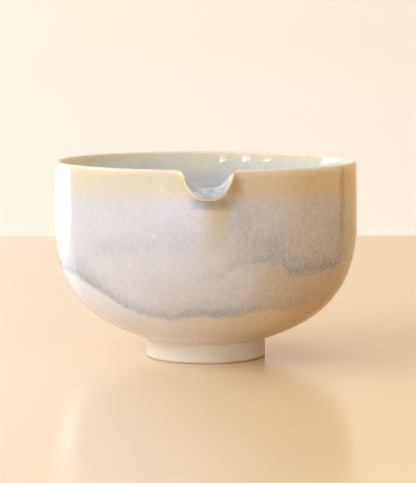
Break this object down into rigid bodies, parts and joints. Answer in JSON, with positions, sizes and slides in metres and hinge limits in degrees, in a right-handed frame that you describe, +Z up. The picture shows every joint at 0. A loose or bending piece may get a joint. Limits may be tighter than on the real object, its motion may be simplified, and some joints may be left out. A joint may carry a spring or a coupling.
{
  "type": "spouted tea bowl",
  "caption": "Round glazed stoneware tea bowl with a small notched pouring lip at the rim and a bare clay foot ring.",
  "frame": {"origin": "on the table under the middle of the bowl's box, so a little in front of the bowl's axis", "axes": "+Z up through the mouth, -Y towards the pouring lip, +X to the right seen from the lip"},
  "size_m": [0.1198, 0.126, 0.078],
  "materials": {
    "clay": "fired bare stoneware clay, matte",
    "slip": "fired clay slip, matte",
    "foot_clay": "bare trimmed clay, smooth and matte",
    "inner_glaze": "glossy blue-grey glaze, olive-beige towards the rim",
    "outer_glaze": "glossy beige-grey glaze with hazy blue-grey bands",
    "rim_glaze": "glossy ochre glaze band"
  },
  "bodies": {
    "root": {"bowl_wall": "clay", "pouring_lip": "clay", "lip_slip_seam": "slip", "foot_ring": "foot_clay", "foot_slip_seam": "slip", "inner_glaze": "inner_glaze", "outer_glaze": "outer_glaze", "rim_glaze": "rim_glaze"}
  },
  "joints": []
}
